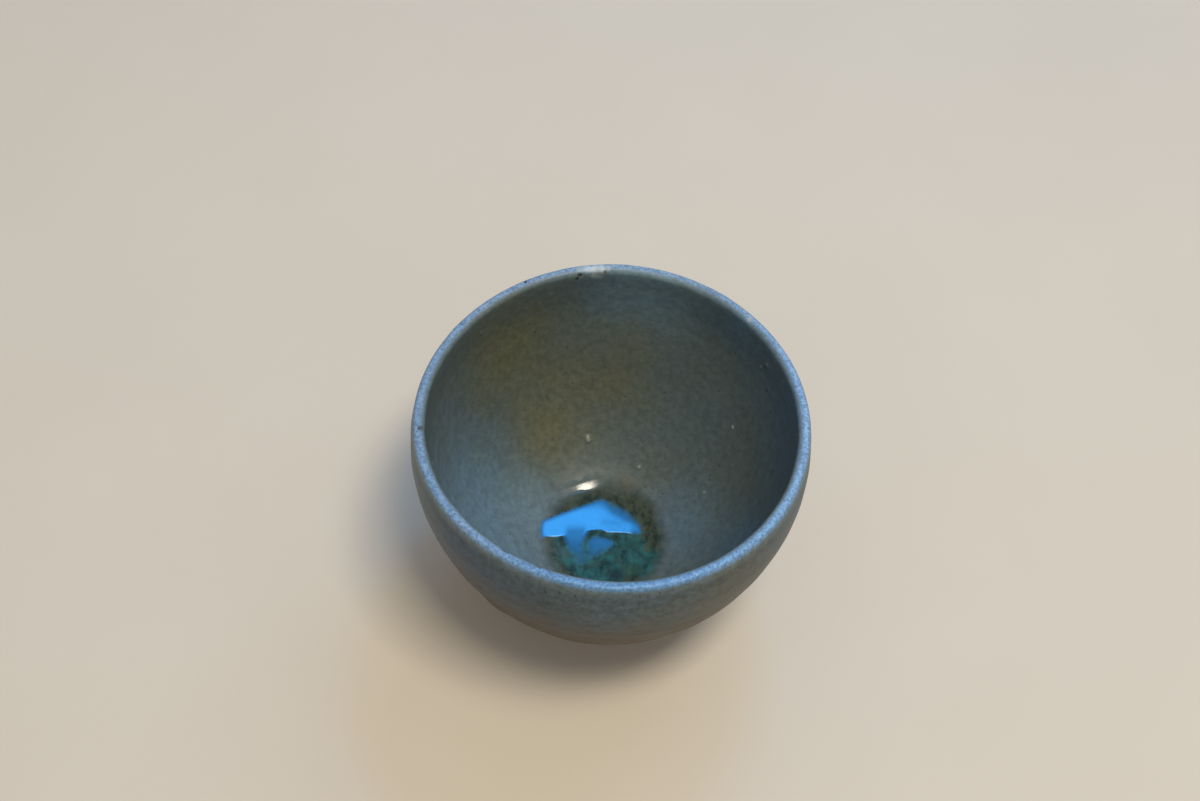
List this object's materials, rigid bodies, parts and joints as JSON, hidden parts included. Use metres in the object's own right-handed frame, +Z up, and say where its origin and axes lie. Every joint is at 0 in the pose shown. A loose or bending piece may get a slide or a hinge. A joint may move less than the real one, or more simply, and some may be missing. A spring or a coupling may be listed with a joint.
{
  "type": "tea cup",
  "caption": "Small hand-thrown stoneware tea cup without a handle: round bowl on a turned foot ring, satin grey-green glaze, pale lip and a pool of teal glass in the well.",
  "frame": {"origin": "centre of the foot ring, on the surface that the cup stands on", "axes": "+Z up along the cup's axis, +X to the right in the picture's view, +Y away from its camera"},
  "size_m": [0.08, 0.08, 0.058],
  "materials": {
    "fired_stoneware": "matt fired clay",
    "bare_foot_clay": "bare turned clay",
    "grey_green_glaze": "satin glaze with dark specks",
    "olive_grey_glaze": "satin glaze with olive patches",
    "pale_lip_glaze": "thin pale glaze",
    "teal_pool_glass": "glossy crackled glass"
  },
  "bodies": {
    "root": {"clay_body": "fired_stoneware", "foot_ring": "bare_foot_clay", "outer_glaze": "grey_green_glaze", "inner_glaze": "olive_grey_glaze", "lip_glaze": "pale_lip_glaze", "glass_pool": "teal_pool_glass"}
  },
  "joints": []
}
